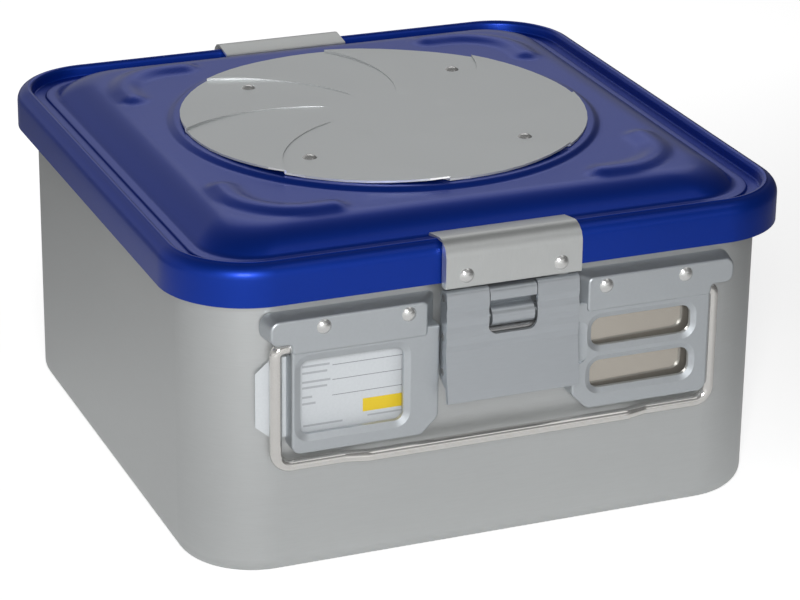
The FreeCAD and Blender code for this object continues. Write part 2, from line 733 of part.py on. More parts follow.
def pressed_opening(pan, span_x, span_z, corner, rim):
    """Cut a rounded opening whose rim is pressed in from the face."""
    behind = HOLDER_DEPTH - HOLDER_SHEET
    ring = wall_plate(opening_corners(span_x, span_z, corner, rim), behind - RIM_PRESS, behind + 0.1)
    mouth = []
    for out, grow in ((HOLDER_DEPTH - RIM_PRESS, 0.0), (HOLDER_DEPTH + 0.01, rim)):
        place = lambda x, z, out=out: V(x, -(TUB_HALF + out), z)
        mouth.append(rounded_wire(opening_corners(span_x, span_z, corner, grow), place))
    dish = Part.makeLoft(mouth, True, True)
    hole = wall_plate(opening_corners(span_x, span_z, corner, 0), behind - RIM_PRESS - 1, FACE_OUT + 1)
    return pan.fuse(ring).cut([dish, hole])


def label_holder():
    """Left holder: one window for the label card, open at its outer side."""
    pan = pressed_opening(holder_pan(LABEL_OUTER_X), WINDOW_X, WINDOW_Z, WINDOW_CORNER, WINDOW_RIM)
    gate_out = CARD_CLEARANCE + CARD_SHEET + SWING_GAP
    gate = box(
        (LABEL_OUTER_X - HOLDER_SHEET - 1, -(TUB_HALF + gate_out), CARD_Z[0] - SWING_GAP),
        (LABEL_OUTER_X + 1, -TUB_HALF, CARD_Z[1] + SWING_GAP),
    )
    return mirrored(pan.cut(gate))


def tag_holder():
    """Right holder: two slots, one above the other, and a recess beside the latch."""
    pan = holder_pan(TAG_OUTER_X)
    backing = scallop(HOLDER_SHEET).common(wall_plate(lower_outline(TAG_OUTER_X, 0), WALL_GAP, HOLDER_DEPTH))
    pan = pan.fuse(backing).cut(scallop(0))
    for z in SLOT_Z:
        pan = pressed_opening(pan, SLOT_X, (z, z + SLOT_HEIGHT), SLOT_CORNER, SLOT_RIM)
    return pan


def tag_insert():
    """Bright plate that shows through the two slots, held inside the pan and leaning a little."""
    low_x = HOLDER_INNER_X + SCALLOP_RUN
    high_x = TAG_OUTER_X - HOLDER_SHEET - WALL_GAP
    low_z = SLOT_Z[0] - INSERT_MARGIN
    high_z = SLOT_Z[1] + SLOT_HEIGHT + INSERT_MARGIN
    out = HOLDER_DEPTH - HOLDER_SHEET - RIM_PRESS - INSERT_SET_BACK
    corners = [
        (low_x, low_z + INSERT_BEVEL, 0.0),
        (low_x + INSERT_BEVEL, low_z, 0.0),
        (high_x, low_z, 0.0),
        (high_x, high_z, 0.0),
        (low_x, high_z, 0.0),
    ]
    plate = wall_plate(corners, out - INSERT_SHEET, out)
    plate.rotate(wall_point(low_x, out, 0), Z_AXIS, INSERT_TILT)
    return plate


def holder_rivets():
    """Rivets of both holders."""
    grip = FACE_OUT + TUB_WALL
    return group([rivet(base, V(0, -1, 0), grip) for base in holder_rivet_bases()])


def label_card():
    """Card in the label holder, with its outer corners cut off."""
    inner_x = HOLDER_INNER_X + HOLDER_SHEET + CARD_END_ROOM
    corners = [
        (-inner_x, CARD_Z[0], 0.0),
        (-inner_x, CARD_Z[1], 0.0),
        (-CARD_OUTER_X + CARD_BEVEL, CARD_Z[1], 0.0),
        (-CARD_OUTER_X, CARD_Z[1] - CARD_BEVEL_RISE, 0.0),
        (-CARD_OUTER_X, CARD_Z[0] + CARD_BEVEL_RISE, 0.0),
        (-CARD_OUTER_X + CARD_BEVEL, CARD_Z[0], 0.0),
    ]
    return wall_plate(corners, CARD_CLEARANCE, CARD_CLEARANCE + CARD_SHEET)


# Wire handle

def handle_corners():
    """Centre line of the handle as (point, bend radius), from one stub to the other."""
    near = WIRE_SET_OUT
    far = WIRE_SET_OUT + HANDLE_JOG
    half = [
        (wall_point(HANDLE_LEG_X - HANDLE_STUB, near, HANDLE_PIVOT_Z), 0.0),
        (wall_point(HANDLE_LEG_X, near, HANDLE_PIVOT_Z), HANDLE_TOP_BEND),
        (wall_point(HANDLE_LEG_X, near, HANDLE_BOTTOM_Z), HANDLE_BEND),
        (wall_point(HANDLE_JOG_X[0], near, HANDLE_BOTTOM_Z), HANDLE_BEND),
        (wall_point(HANDLE_JOG_X[1], far, HANDLE_BOTTOM_Z), HANDLE_BEND),
    ]
    other = [(V(-point.x, point.y, point.z), radius) for point, radius in reversed(half)]
    return half + other


def bent_path(corners):
    """Wire of straight runs joined by tangent arcs."""
    edges = []
    last = corners[0][0]
    for i in range(1, len(corners) - 1):
        here, radius = corners[i]
        back = unit(corners[i - 1][0] - here)
        ahead = unit(corners[i + 1][0] - here)
        half = back.getAngle(ahead) / 2
        reach = radius / math.tan(half)
        bisector = unit(back + ahead)
        middle = here + bisector * (radius / math.sin(half) - radius)
        start = here + back * reach
        end = here + ahead * reach
        edges.append(Part.LineSegment(last, start).toShape())
        edges.append(Part.Arc(start, middle, end).toShape())
        last = end
    edges.append(Part.LineSegment(last, corners[-1][0]).toShape())
    return Part.Wire(edges)


def handle():
    """Round wire handle, bent at its legs and stepped outwards along its grip."""
    corners = handle_corners()
    path = bent_path(corners)
    section = Part.Wire(Part.makeCircle(WIRE_RADIUS, corners[0][0], X_AXIS))
    wire = path.makePipeShell([section], True, False)
    wire.translate(V(-HANDLE_SHIFT, 0, 0))
    return wire


# Latch

def flap_skin():
    """Front skin of the flap: a curled top, shallow ribs and a flared pull edge."""
    face = HINGE_OUT + KNUCKLE_RADIUS
    pull = face + FLAP_FLARE
    rib = FLAP_RIB
    outer = [
        (HINGE_OUT + 1.6, HINGE_Z + KNUCKLE_RADIUS - 0.3, 0.4),
        (face - 0.6, HINGE_Z + 2.9, 2.6),
        (face, HINGE_Z - 3.4, 1.2),
        (face - rib, HINGE_Z - 6.4, 1.2),
        (face, HINGE_Z - 9.6, 1.2),
        (face, HINGE_Z - 12.8, 1.2),
        (face - rib, HINGE_Z - 15.6, 1.2),
        (face, HINGE_Z - 18.4, 1.2),
        (face, HINGE_Z - 21.6, 1.2),
        (face - rib, HINGE_Z - 24.6, 1.2),
        (face + 0.3, FLAP_KNEE_Z, 2.0),
    ]
    inner = [
        (face + 0.3 - FLAP_SHEET, FLAP_KNEE_Z - 2.5 * FLAP_SHEET, 1.0),
        (face - FLAP_SHEET, HINGE_Z - 3.0, 2.0),
        (HINGE_OUT + 2.6, HINGE_Z + 2.2, 0.8),
        (HINGE_OUT + 1.2, HINGE_Z + KNUCKLE_RADIUS - 1.8, 0.3),
    ]
    edge = [
        (pull, FLAP_BOTTOM_Z, 0.6),
        (pull - FLAP_SHEET - 0.6, FLAP_BOTTOM_Z, 0.6),
    ]
    return cross_bar(outer + edge + inner, -FLAP_HALF, FLAP_HALF)


def cheek(low_x):
    """Side cheek of the flap, with the bores for its pins."""
    face = HINGE_OUT + KNUCKLE_RADIUS
    top = HINGE_Z + KNUCKLE_RADIUS - 0.2
    outline = [
        (CHEEK_BACK, top - 1.6, 2.4),
        (face - 0.8, top, 3.4),
        (face - 1.0, CROSS_PIN_Z[0] - 7.0, 0.5),
        (CHEEK_BACK, CROSS_PIN_Z[0] - 2.6, 2.4),
    ]
    plate = cross_bar(outline, low_x, low_x + CHEEK_SHEET)
    start = low_x - 1
    end = low_x + CHEEK_SHEET + 1
    bores = [pin(start, end, HINGE_OUT, HINGE_Z, LATCH_PIN_RADIUS + RUNNING_GAP)]
    for z in CROSS_PIN_Z:
        bores.append(pin(start, end, CROSS_PIN_OUT, z, LATCH_PIN_RADIUS + FIXED_GAP))
    return plate.cut(bores)


def lug_inner_x():
    """Inner face of the lugs that hold the link's pin."""
    return LINK_HALF + LINK_SIDE_GAP


def lug(low_x):
    """Lug behind the flap's skin, beside the link's opening, with the bore for its pin."""
    face = HINGE_OUT + KNUCKLE_RADIUS
    outline = [
        (LINK_PIN_OUT - LUG_RADIUS, LINK_PIN_Z - LUG_RADIUS, LUG_RADIUS - 0.2),
        (face - 1.0, LINK_PIN_Z - LUG_RADIUS, 0.0),
        (face - 1.0, LINK_PIN_Z + LUG_RADIUS, 0.0),
        (LINK_PIN_OUT - LUG_RADIUS, LINK_PIN_Z + LUG_RADIUS, LUG_RADIUS - 0.2),
    ]
    plate = cross_bar(outline, low_x, low_x + LUG_SHEET)
    bore = pin(low_x - 1, low_x + LUG_SHEET + 1, LINK_PIN_OUT, LINK_PIN_Z, LATCH_PIN_RADIUS + FIXED_GAP)
    return plate.cut(bore)


def pin(low_x, high_x, out, z, radius):
    """Round pin along X."""
    return Part.makeCylinder(radius, high_x - low_x, wall_point(low_x, out, z), X_AXIS)


def latch_flap():
    """Latch flap: skin and two cheeks, with an opening for the link."""
    half = lug_inner_x()
    low = LINK_PIN_Z - LINK_ROLL_RADIUS - LINK_WINDOW_DROP
    corners = [
        (-half, low, 4.0),
        (half, low, 4.0),
        (half, HINGE_Z + 20, 0.0),
        (-half, HINGE_Z + 20, 0.0),
    ]
    opening = wall_plate(corners, HINGE_OUT - 4, HINGE_OUT + 10)
    cheeks = [cheek(-FLAP_HALF), cheek(FLAP_HALF - CHEEK_SHEET)]
    lugs = [lug(half), lug(-half - LUG_SHEET)]
    return flap_skin().cut(opening).fuse(cheeks + lugs)


def latch_pins():
    """The link's pin in its lugs and the cross pins in the flap's cheeks."""
    reach = lug_inner_x() + LUG_SHEET
    pins = [pin(-reach, reach, LINK_PIN_OUT, LINK_PIN_Z, LATCH_PIN_RADIUS)]
    for z in CROSS_PIN_Z:
        pins.append(pin(-FLAP_HALF, FLAP_HALF, CROSS_PIN_OUT, z, LATCH_PIN_RADIUS))
    return group(pins)


def ear_inner_x():
    """Inner face of a base ear."""
    return FLAP_HALF - CHEEK_SHEET - EAR_SIDE_GAP - EAR_SHEET


def hinge_pins():
    """Short hinge pins, fixed in the base's ears and free in the flap's cheeks."""
    near = ear_inner_x() - 1.5
    return group([
        pin(near, FLAP_HALF, HINGE_OUT, HINGE_Z, LATCH_PIN_RADIUS),
        pin(-FLAP_HALF, -near, HINGE_OUT, HINGE_Z, LATCH_PIN_RADIUS),
    ])


def latch_link():
    """Link that rises from its pin and ends in the nose under the bracket's edge."""
    face = HINGE_OUT + KNUCKLE_RADIUS - 0.3
    back = LINK_PIN_OUT - LINK_ROLL_RADIUS
    nose_low = LINK_TOP_Z - LINK_NOSE_HEIGHT
    section = [
        (face, nose_low, 1.2),
        (face, LINK_TOP_Z, 3.0),
        (back, LINK_TOP_Z, 2.0),
        (back, LINK_PIN_Z, 0.0),
        (back + LINK_BACK, LINK_PIN_Z, 0.0),
        (back + LINK_BACK, nose_low, 1.0),
    ]
    body = cross_bar(section, -LINK_HALF, LINK_HALF)
    roll = pin(-LINK_ROLL_HALF, LINK_ROLL_HALF, LINK_PIN_OUT, LINK_PIN_Z, LINK_ROLL_RADIUS)
    bore = pin(-LINK_HALF - 1, LINK_HALF + 1, LINK_PIN_OUT, LINK_PIN_Z, LATCH_PIN_RADIUS + RUNNING_GAP)
    return body.fuse(roll).removeSplitter().cut(bore)


def ear(low_x):
    """Ear of the base that carries the flap's hinge pin."""
    foot = WALL_GAP + BASE_SHEET
    tip = pin(low_x, low_x + EAR_SHEET, HINGE_OUT, HINGE_Z, EAR_TIP)
    slope = EAR_TIP * 0.5
    arm = [
        (HINGE_OUT - slope, HINGE_Z + EAR_TIP * 0.86, 0.0),
        (foot - 0.5, BASE_TOP_Z, 0.0),
        (foot - 0.5, HINGE_Z - 20, 0.0),
        (HINGE_OUT + EAR_TIP * 0.86, HINGE_Z - slope, 0.0),
    ]
    plate = cross_bar(arm, low_x, low_x + EAR_SHEET).fuse(tip).removeSplitter()
    return plate.cut(pin(low_x - 1, low_x + EAR_SHEET + 1, HINGE_OUT, HINGE_Z, LATCH_PIN_RADIUS + FIXED_GAP))


def latch_base():
    """Plate on the tub's wall with two ears."""
    corners = [
        (-BASE_HALF, BASE_BOTTOM_Z, 3.0),
        (BASE_HALF, BASE_BOTTOM_Z, 3.0),
        (BASE_HALF, BASE_TOP_Z, 3.0),
        (-BASE_HALF, BASE_TOP_Z, 3.0),
    ]
    plate = wall_plate(corners, WALL_GAP, WALL_GAP + BASE_SHEET)
    inner = ear_inner_x()
    ears = [ear(inner), ear(-inner - EAR_SHEET)]
    grip = WALL_GAP + BASE_SHEET
    holes = [rivet_hole(base, V(0, -1, 0), grip) for base in base_rivet_bases()]
    return plate.fuse(ears).cut(holes)


def base_rivets():
    """Rivets of the latch base."""
    grip = WALL_GAP + BASE_SHEET + TUB_WALL
    return group([rivet(base, V(0, -1, 0), grip) for base in base_rivet_bases()])


CENTRE_NODES = {
    "tub_shell": tub_shell,
    "lid_shell": lid_shell,
    "lid_gasket": lid_gasket,
    "vent_cover_disc": vent_cover_disc,
    "vent_cover_rivets": vent_cover_rivets,
    "vent_cover_spacers": vent_cover_spacers,
    "filter_stud": filter_stud,
    "filter_sheet": filter_sheet,
    "filter_retainer": filter_retainer,
}

SIDE_NODES = {
    "clamp_bracket": clamp_bracket,
    "clamp_rivets": clamp_rivets,
    "label_holder": label_holder,
    "tag_holder": tag_holder,
    "tag_insert": tag_insert,
    "holder_rivets": holder_rivets,
    "label_card": label_card,
    "handle": handle,
    "latch_base": latch_base,
    "latch_base_rivets": base_rivets,
    "latch_hinge_pins": hinge_pins,
    "latch_flap": latch_flap,
    "latch_pins": latch_pins,
    "latch_link": latch_link,
}


def export(name, shape):
    """Write one node and print what it holds."""
    shape.exportStep("parts/" + name + ".step")
    print(name, "solids", len(shape.Solids), "valid", shape.isValid(), "volume", round(shape.Volume, 1))


for node, make in CENTRE_NODES.items():
    export(node, make())

for node, make in SIDE_NODES.items():
    front = make()
    export("front_" + node, front)
    export("rear_" + node, turned(front, 180))
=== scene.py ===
import math

import bpy
from mathutils import Matrix, Vector


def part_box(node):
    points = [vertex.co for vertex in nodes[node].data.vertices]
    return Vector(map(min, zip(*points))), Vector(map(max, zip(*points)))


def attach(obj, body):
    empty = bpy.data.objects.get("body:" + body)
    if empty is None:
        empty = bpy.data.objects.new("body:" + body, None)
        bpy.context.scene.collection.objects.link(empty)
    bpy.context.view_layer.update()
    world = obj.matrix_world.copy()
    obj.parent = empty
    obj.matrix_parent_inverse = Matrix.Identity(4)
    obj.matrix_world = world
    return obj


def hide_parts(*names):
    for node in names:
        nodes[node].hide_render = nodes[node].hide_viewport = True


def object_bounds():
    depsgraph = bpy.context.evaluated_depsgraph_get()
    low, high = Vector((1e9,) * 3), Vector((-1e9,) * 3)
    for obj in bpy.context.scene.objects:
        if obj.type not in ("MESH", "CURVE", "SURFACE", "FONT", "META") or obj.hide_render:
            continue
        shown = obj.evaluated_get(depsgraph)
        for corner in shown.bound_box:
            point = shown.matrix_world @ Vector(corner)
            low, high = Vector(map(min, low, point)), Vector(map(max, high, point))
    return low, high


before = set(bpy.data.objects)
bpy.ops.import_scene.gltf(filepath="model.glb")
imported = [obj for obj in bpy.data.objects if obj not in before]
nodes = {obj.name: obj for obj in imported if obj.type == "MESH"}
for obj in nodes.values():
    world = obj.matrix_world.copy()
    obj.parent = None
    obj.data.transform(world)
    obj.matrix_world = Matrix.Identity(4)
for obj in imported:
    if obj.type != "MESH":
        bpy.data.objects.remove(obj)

cad_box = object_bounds()
scene = bpy.context.scene


# The view. A long lens looks down on the front left corner of the container,
# which stands on a pale floor under soft lamps.
eye = Vector((-0.5251, -1.2970, 0.6366))
turn_right = 0.3911
tilt_down = 0.3890
lean = 0.0135
focal_length = 139.35

camera_data = bpy.data.cameras.new("camera")
camera_data.lens = focal_length
camera_data.sensor_width = 36.0
camera_data.clip_start = 0.05
camera_data.clip_end = 50.0
camera = bpy.data.objects.new("camera", camera_data)
scene.collection.objects.link(camera)
aim = Matrix.Rotation(-turn_right, 3, "Z") @ Matrix.Rotation(math.pi / 2 - tilt_down, 3, "X")
camera.rotation_euler = (aim @ Matrix.Rotation(lean, 3, "Z")).to_euler()
camera.location = eye
scene.camera = camera
scene.view_settings.view_transform = "Standard"


# The studio. Pale paper on the floor, which the camera sees white; behind and to the right
# the paper is painted darker, painted shade for the dark room and the shadow there, and the
# gloss of the metal sees the floor glow only in front. A sky that is bright low in front and
# darker above and behind, and soft lamps.
floor_size = 12.0
floor_gap = 0.0004
floor_shade = 0.86
floor_back_painted_shade = 0.50
floor_right_painted_shade = 0.25
floor_glow = 0.60
floor_back_glow = 0.30
floor_mirrored = 0.15
behind_from = 0.05
beside_from = 0.15
floor_change = 2.5
front_stops = [(0.0, 0.60), (0.50, 0.80), (0.57, 0.85), (0.66, 0.42), (0.76, 0.14), (1.0, 0.10)]
back_stops = [(0.0, 0.60), (0.50, 0.42), (0.60, 0.42), (0.74, 0.40), (0.85, 0.14), (1.0, 0.06)]
sky_turn = 1.6
right_sky_from = 0.40
right_sky_change = 3
right_sky_shade = 0.05


class Flow:
    """A value in a shader's node tree, which reads like a number in an expression."""

    def __init__(self, tree, socket=None):
        self.tree = tree
        self.socket = socket

    def node(self, kind, settings=None, out=0, **links):
        """A node of any kind: its settings first, then its sockets, by name or as n0, n1."""
        made = self.tree.nodes.new(kind)
        for key, value in (settings or {}).items():
            if key == "stops":
                ramp = made.color_ramp
                while len(ramp.elements) < len(value):
                    ramp.elements.new(0.5)
                for element, (place, shade) in zip(ramp.elements, value):
                    element.position = place
                    element.color = (shade, shade, shade, 1)
            else:
                setattr(made, key, value)
        for key, value in links.items():
            name = key.replace("_", " ")
            by_number = key[0] == "n" and key[1:].isdigit()
            target = made.inputs[int(key[1:])] if by_number else made.inputs[name]
            if isinstance(value, Flow):
                self.tree.links.new(value.socket, target)
            else:
                target.default_value = value
        return Flow(self.tree, made.outputs[out])

    def maths(self, operation, *values):
        """A Math node on this value and others."""
        links = {"n%d" % i: value for i, value in enumerate(values)}
        return self.node("ShaderNodeMath", {"operation": operation}, **links)

    def __add__(self, other):
        return self.maths("ADD", self, other)

    def __radd__(self, other):
        return self.maths("ADD", other, self)

    def __sub__(self, other):
        return self.maths("SUBTRACT", self, other)

    def __rsub__(self, other):
        return self.maths("SUBTRACT", other, self)

    def __mul__(self, other):
        return self.maths("MULTIPLY", self, other)

    def __rmul__(self, other):
        return self.maths("MULTIPLY", other, self)

    def limited(self):
        """The value kept between 0 and 1."""
        return self.node("ShaderNodeClamp", n0=self)

    def between(self, low, high):
        """1 where the value lies between two numbers, and 0 elsewhere."""
        return self.maths("GREATER_THAN", self, low) * self.maths("LESS_THAN", self, high)

    def tinted(self, dark, light):
        """The colour between two, by this value."""
        settings = {"data_type": "RGBA", "clamp_factor": True}
        colours = [tint if isinstance(tint, Flow) else (*tint, 1) for tint in (dark, light)]
        return self.node("ShaderNodeMix", settings, out=2, n0=self, n6=colours[0], n7=colours[1])


def new_shader(name):
    """An empty material with the flow that its nodes start from."""
    material = bpy.data.materials.new(name)
    material.use_nodes = True
    material.node_tree.nodes.clear()
    return material, Flow(material.node_tree)


def close_shader(flow, surface):
    """Feed the surface to the material's output."""
    output = flow.tree.nodes.new("ShaderNodeOutputMaterial")
    flow.tree.links.new(surface.socket, output.inputs["Surface"])


bpy.ops.object.select_all(action="DESELECT")
bpy.ops.mesh.primitive_plane_add(size=floor_size, location=(0, 0, cad_box[0].z - floor_gap))
floor = bpy.context.object
floor.name = "floor"
paper, flow = new_shader("floor_paper")
path = flow.node("ShaderNodeLightPath")
rays = path.socket.node.outputs
glossy = Flow(flow.tree, rays["Is Glossy Ray"])
mirrored = path.maths("MAXIMUM", glossy, Flow(flow.tree, rays["Is Transmission Ray"]))
spot = flow.node("ShaderNodeTexCoord", out=3)
spot_x = flow.node("ShaderNodeSeparateXYZ", out=0, Vector=spot)
spot_y = Flow(flow.tree, spot_x.socket.node.outputs[1])
# Painted shade: the paper's colour is darker behind and to the right, where the room is dark and
# the shadow falls; reflections see the floor glow only in front.
behind = ((spot_y - behind_from) * floor_change).limited()
beside = ((spot_x - beside_from) * floor_change).limited()
shade = behind.tinted((floor_shade,) * 3, (floor_back_painted_shade,) * 3)
shade = beside.tinted(shade, (floor_right_painted_shade,) * 3)
near = (1 - behind) * (1 - beside)
seen = path * (behind * floor_back_glow + floor_glow) + mirrored * near * floor_mirrored
plain = flow.node("ShaderNodeBsdfDiffuse", Color=shade)
glow = flow.node("ShaderNodeEmission", Color=(1, 1, 1, 1), Strength=seen)
close_shader(flow, flow.node("ShaderNodeAddShader", n0=plain, n1=glow))
floor.data.materials.append(paper)

world = bpy.data.worlds.new("studio")
world.use_nodes = True
world.node_tree.nodes.clear()
flow = Flow(world.node_tree)
direction = flow.node("ShaderNodeTexCoord", out=0)
height = flow.node("ShaderNodeSeparateXYZ", out=2, Vector=direction)
depth = Flow(flow.tree, height.socket.node.outputs[1])
front_sky = flow.node("ShaderNodeValToRGB", {"stops": front_stops}, Fac=height * 0.5 + 0.5)
back_sky = flow.node("ShaderNodeValToRGB", {"stops": back_stops}, Fac=height * 0.5 + 0.5)
side = Flow(flow.tree, height.socket.node.outputs[0])
sky = (depth * sky_turn + 0.5).tinted(front_sky, back_sky)
right = ((side - right_sky_from) * right_sky_change).limited()
sky = right.tinted(sky, (right_sky_shade,) * 3)
light = flow.node("ShaderNodeBackground", Color=sky, Strength=1.0)
output = world.node_tree.nodes.new("ShaderNodeOutputWorld")
world.node_tree.links.new(light.socket, output.inputs["Surface"])
scene.world = world


def soft_lamp(name, place, target, size, power):
    """A soft box of a width and height at a place, turned to a target."""
    data = bpy.data.lights.new(name, "AREA")
    data.shape = "RECTANGLE"
    data.size = size[0]
    data.size_y = size[1]
    data.energy = power
    lamp = bpy.data.objects.new(name, data)
    scene.collection.objects.link(lamp)
    lamp.location = place
    lamp.rotation_euler = (Vector(target) - Vector(place)).to_track_quat("-Z", "Y").to_euler()


soft_lamp("key_lamp", (-0.85, -2.1, 1.1), (0, 0, 0.08), (0.6, 0.6), 36)
soft_lamp("fill_lamp", (0.8, -1.0, 1.9), (0, 0, 0.1), (0.9, 0.9), 2)
soft_lamp("back_lamp", (0.9, 2.0, 1.7), (0, 0, 0.1), (1.6, 1.0), 4)


# Tub. A deep-drawn aluminium pan, left in its natural satin finish with fine short
# brush marks that run level round the walls; its rim is turned out under the lid.
tub_tone = (0.56, 0.575, 0.575)
tub_gloss = 0.40
brush_marks = (90, 90, 1500)


def satin_metal(name, colour, roughness, streak, depth, cloud_size=9.0):
    """Metal with a fine grain that runs along the sheet, uneven in tone and gloss."""
    material, flow = new_shader(name)
    where = flow.node("ShaderNodeTexCoord", out=3)
    stretched = flow.node("ShaderNodeMapping", Vector=where, Scale=streak)
    grain = flow.node("ShaderNodeTexNoise", Vector=stretched, Scale=1.0, Detail=4.0, Roughness=0.6)
    cloud = flow.node("ShaderNodeTexNoise", Vector=where, Scale=cloud_size, Detail=2.0)
    dark = [channel * 0.92 for channel in colour]
    light_tone = [min(channel * 1.07, 1.0) for channel in colour]
    tone = (grain * 0.6 + cloud * 0.4).tinted(dark, light_tone)
    surface = flow.node(
        "ShaderNodeBsdfPrincipled",
        Base_Color=tone,
        Metallic=0.8,
        Roughness=grain * 0.10 + cloud * 0.06 + (roughness - 0.08),
        Normal=flow.node("ShaderNodeBump", Strength=depth, Distance=0.0002, Height=grain),
    )
    close_shader(flow, surface)
    return material


def coat(material, *names):
    """Give CAD nodes a material."""
    for name in names:
        slots = nodes[name].data.materials
        slots.clear()
        slots.append(material)


def both(*names):
    """The front and the rear node of each name."""
    return [side + name for name in names for side in ("front_", "rear_")]


coat(satin_metal("tub_aluminium", tub_tone, tub_gloss, brush_marks, 0.22), "tub_shell")


# Lid. One aluminium sheet, pressed in one go and anodised blue: a rim with a skirt, a
# groove, a soft dome with a round seat for the vent cover, and a swelling in each corner.
lid_low, lid_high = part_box("lid_shell")
lid_half = lid_high.x
lid_corner = 0.0404
lid_sheet = 0.0015
skirt_low = lid_low.z
rim_height = 0.1517
rim_edge = 0.0065
groove_half = 0.1410
groove_height = 0.1463
groove_bend = 0.0008
land_height = 0.1475
land_half = 0.1346
land_bend = 0.0006
rim_inner_bend = 0.0024
dome_foot = 0.1298
dome_foot_corner = 0.0260
dome_top_half = 0.1100
dome_top_corner = 0.0200
dome_height = 0.1570
seat_radius = 0.1035
seat_edge = 0.0040
seat_rise = 0.0018
swelling_centre = 0.0750
swelling_radius = 0.0290
swelling_tail = 0.0090
swelling_half_width = 0.0095
swelling_rise = 0.0024
blue_dark = (0.0, 0.028, 0.30)
blue_light = (0.0, 0.038, 0.40)
blue_gloss = 0.36


def eased(value):
    """A smooth step from 0 to 1."""
    value = min(max(value, 0.0), 1.0)
    return value * value * (3 - 2 * value)


def arc_rings(centre_half, centre_height, radius, first, last, count):
    """Half width and height of each ring along a bend, between two angles in degrees."""
    rings = []
    for step in range(1, count + 1):
        angle = math.radians(first + (last - first) * step / count)
        half = centre_half + radius * math.cos(angle)
        rings.append((half, centre_height + radius * math.sin(angle)))
    return rings


def lid_rings():
    """Half width, corner radius and height of each ring, from the middle out to the skirt."""
    rings = [(0.0, 0.0, dome_height + seat_rise)]
    for step in range(1, 29):
        radius = (seat_radius - seat_edge) * step / 28
        rings.append((radius, radius, dome_height + seat_rise))
    for step in range(1, 6):
        radius = seat_radius - seat_edge + seat_edge * step / 5
        rings.append((radius, radius, dome_height + seat_rise * eased(1 - step / 5)))
    for step in range(1, 21):
        share = step / 20
        half = seat_radius + (dome_top_half - seat_radius) * share
        rings.append((half, seat_radius + (dome_top_corner - seat_radius) * share, dome_height))
    turn = 2 * math.atan2(dome_height - land_height, dome_foot - dome_top_half)
    shoulder = (dome_foot - dome_top_half) / math.sin(turn)
    for step in range(1, 15):
        angle = turn * step / 14
        share = math.sin(angle) / math.sin(turn)
        half = dome_top_half + (dome_foot - dome_top_half) * share
        corner = dome_top_corner + (dome_foot_corner - dome_top_corner) * share
        rings.append((half, corner, dome_height - shoulder * (1 - math.cos(angle))))
    land = land_half - land_bend
    outline = [(dome_foot + (land - dome_foot) * step / 3, land_height) for step in (1, 2, 3)]
    outline += arc_rings(land, land_height - land_bend, land_bend, 90, 0, 3)
    outline += arc_rings(land_half + land_bend, groove_height + land_bend, land_bend, 180, 270, 3)
    floor_end = groove_half - groove_bend
    outline.append((floor_end, groove_height))
    outline += arc_rings(floor_end, groove_height + groove_bend, groove_bend, -90, 0, 3)
    inner_centre = groove_half + rim_inner_bend
    outline += arc_rings(inner_centre, rim_height - rim_inner_bend, rim_inner_bend, 180, 90, 6)
    skirt_top = rim_height - rim_edge
    outline += arc_rings(lid_half - rim_edge, skirt_top, rim_edge, 90, 0, 8)
    for step in (1, 2, 3):
        outline.append((lid_half, skirt_top + (skirt_low - skirt_top) * step / 3))
    for half, level in outline:
        rings.append((half, lid_corner - (lid_half - half), level))
    return rings


def ring_place(across, along, half, corner):
    """Where a square ring's point lies on the rounded ring; across and along run from -1 to 1."""
    place = [half * abs(across), half * abs(along)]
    reach = [max(value - (half - corner), 0) for value in place]
    length = math.hypot(*reach)
    if min(reach) > 0:
        place = [half - corner + value * corner / length for value in reach]
    return math.copysign(place[0], across), math.copysign(place[1], along)


def swelling(x, y):
    """Height of the four corner swellings over the dome."""
    a = abs(x) - swelling_centre
    b = abs(y) - swelling_centre
    if a > 0 and b > 0:
        away = abs(math.hypot(a, b) - swelling_radius)
    else:
        beyond = max(-min(a, b) - swelling_tail, 0)
        away = math.hypot(beyond, max(a, b) - swelling_radius)
    share = min(away / swelling_half_width, 1.0)
    return swelling_rise * (1 - share * share) ** 2


def smooth(piece, degrees):
    """Smooth shading but for the edges that are sharper than the angle."""
    bpy.ops.object.select_all(action="DESELECT")
    piece.select_set(True)
    bpy.context.view_layer.objects.active = piece
    bpy.ops.object.shade_smooth_by_angle(angle=math.radians(degrees))


def finish_with(piece, kind, **settings):
    """Add a modifier to a piece and apply it."""
    bpy.ops.object.select_all(action="DESELECT")
    piece.select_set(True)
    bpy.context.view_layer.objects.active = piece
    modifier = piece.modifiers.new(kind.lower(), kind)
    for key, value in settings.items():
        setattr(modifier, key, value)
    bpy.ops.object.modifier_apply(modifier=modifier.name)


lid_blue, flow = new_shader("lid_blue")
where = flow.node("ShaderNodeTexCoord", out=3)
grain = flow.node("ShaderNodeTexNoise", Vector=where, Scale=1800.0, Detail=2.0)
cloud = flow.node("ShaderNodeTexNoise", Vector=where, Scale=11.0, Detail=3.0)
facing = flow.node("ShaderNodeLayerWeight", out=1, Blend=0.5)
surface = flow.node(
    "ShaderNodeBsdfPrincipled",
    Base_Color=(grain * 0.5 + cloud * 0.5).tinted(blue_dark, blue_light),
    Metallic=0.75,
    Roughness=grain * 0.08 + cloud * 0.06 + blue_gloss,
    Coat_Weight=facing * 0.45 + 0.10,
    Coat_Roughness=0.2,
    Normal=flow.node("ShaderNodeBump", Strength=0.08, Distance=0.0002, Height=grain),
)
close_shader(flow, surface)

